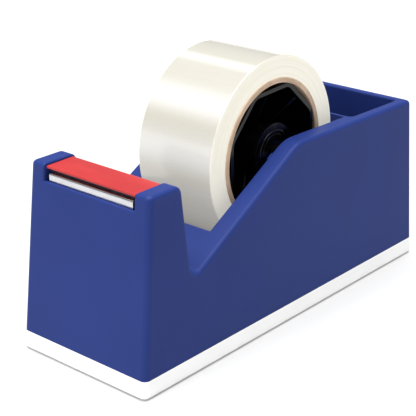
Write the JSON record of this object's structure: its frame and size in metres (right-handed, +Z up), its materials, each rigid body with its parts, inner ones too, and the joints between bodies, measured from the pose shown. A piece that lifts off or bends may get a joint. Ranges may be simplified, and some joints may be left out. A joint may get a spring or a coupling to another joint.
{
  "type": "desk tape dispenser organizer",
  "caption": "Weighted desk tape dispenser with a lift-out reel, a flip-up blade guard, a pen compartment and a shallow drawer in its rear end.",
  "frame": {"origin": "middle of the footprint, level with the soles of the rubber feet", "axes": "+X along the body from the cutter end to the pen end, +Y to the left of a user who faces the cutter end, +Z up"},
  "size_m": [0.2435, 0.0902, 0.1474],
  "materials": {
    "shell_blue": "satin moulded",
    "base_white": "satin moulded",
    "foot_rubber": "matt",
    "ballast_iron": "as cast",
    "zinc_screw": "zinc plated",
    "cutter_navy": "matt moulded",
    "blade_steel": "dark non-stick coating, ground teeth",
    "clamp_chrome": "polished",
    "guard_red": "satin moulded",
    "hub_black": "semi-gloss moulded",
    "core_card": "wound kraft board",
    "tape_film": "clear film, wound",
    "drawer_white": "satin moulded"
  },
  "bodies": {
    "dispenser": {"body_shell": "shell_blue", "base_tray": "base_white", "base_screws": "zinc_screw", "rubber_feet": "foot_rubber", "front_ballast": "ballast_iron", "centre_ballast": "ballast_iron", "ballast_screws": "zinc_screw", "cutter_block": "cutter_navy", "cutter_block_screws": "zinc_screw", "cutter_blade": "blade_steel", "blade_clamp_bar": "clamp_chrome", "blade_screws": "zinc_screw", "guard_pins": "zinc_screw"},
    "guard": {"blade_guard": "guard_red"},
    "axle": {"axle_shaft": "hub_black"},
    "reel": {"spindle_drum": "hub_black", "spindle_bushes": "hub_black", "core_adapter_left": "hub_black", "core_adapter_right": "hub_black", "tape_core": "core_card", "tape_winding": "tape_film"},
    "drawer": {"drawer_tray": "drawer_white", "drawer_front": "shell_blue", "drawer_screws": "zinc_screw"}
  },
  "joints": [
    {"name": "guard_hinge", "type": "hinge", "parent": "dispenser", "child": "guard", "pos_m": [-0.09286, 0, 0.1017], "axis": [0, 1, 0], "range_deg": [0, 100]},
    {"name": "axle_lift", "type": "slide", "parent": "dispenser", "child": "axle", "axis": [0, 0, 1], "range_m": [0, 0.065]},
    {"name": "reel_spin", "type": "hinge", "parent": "axle", "child": "reel", "pos_m": [0.0037, 0, 0.0941], "axis": [0, 1, 0], "continuous": true},
    {"name": "drawer_slide", "type": "slide", "parent": "dispenser", "child": "drawer", "axis": [1, 0, 0], "range_m": [0, 0.075]}
  ]
}
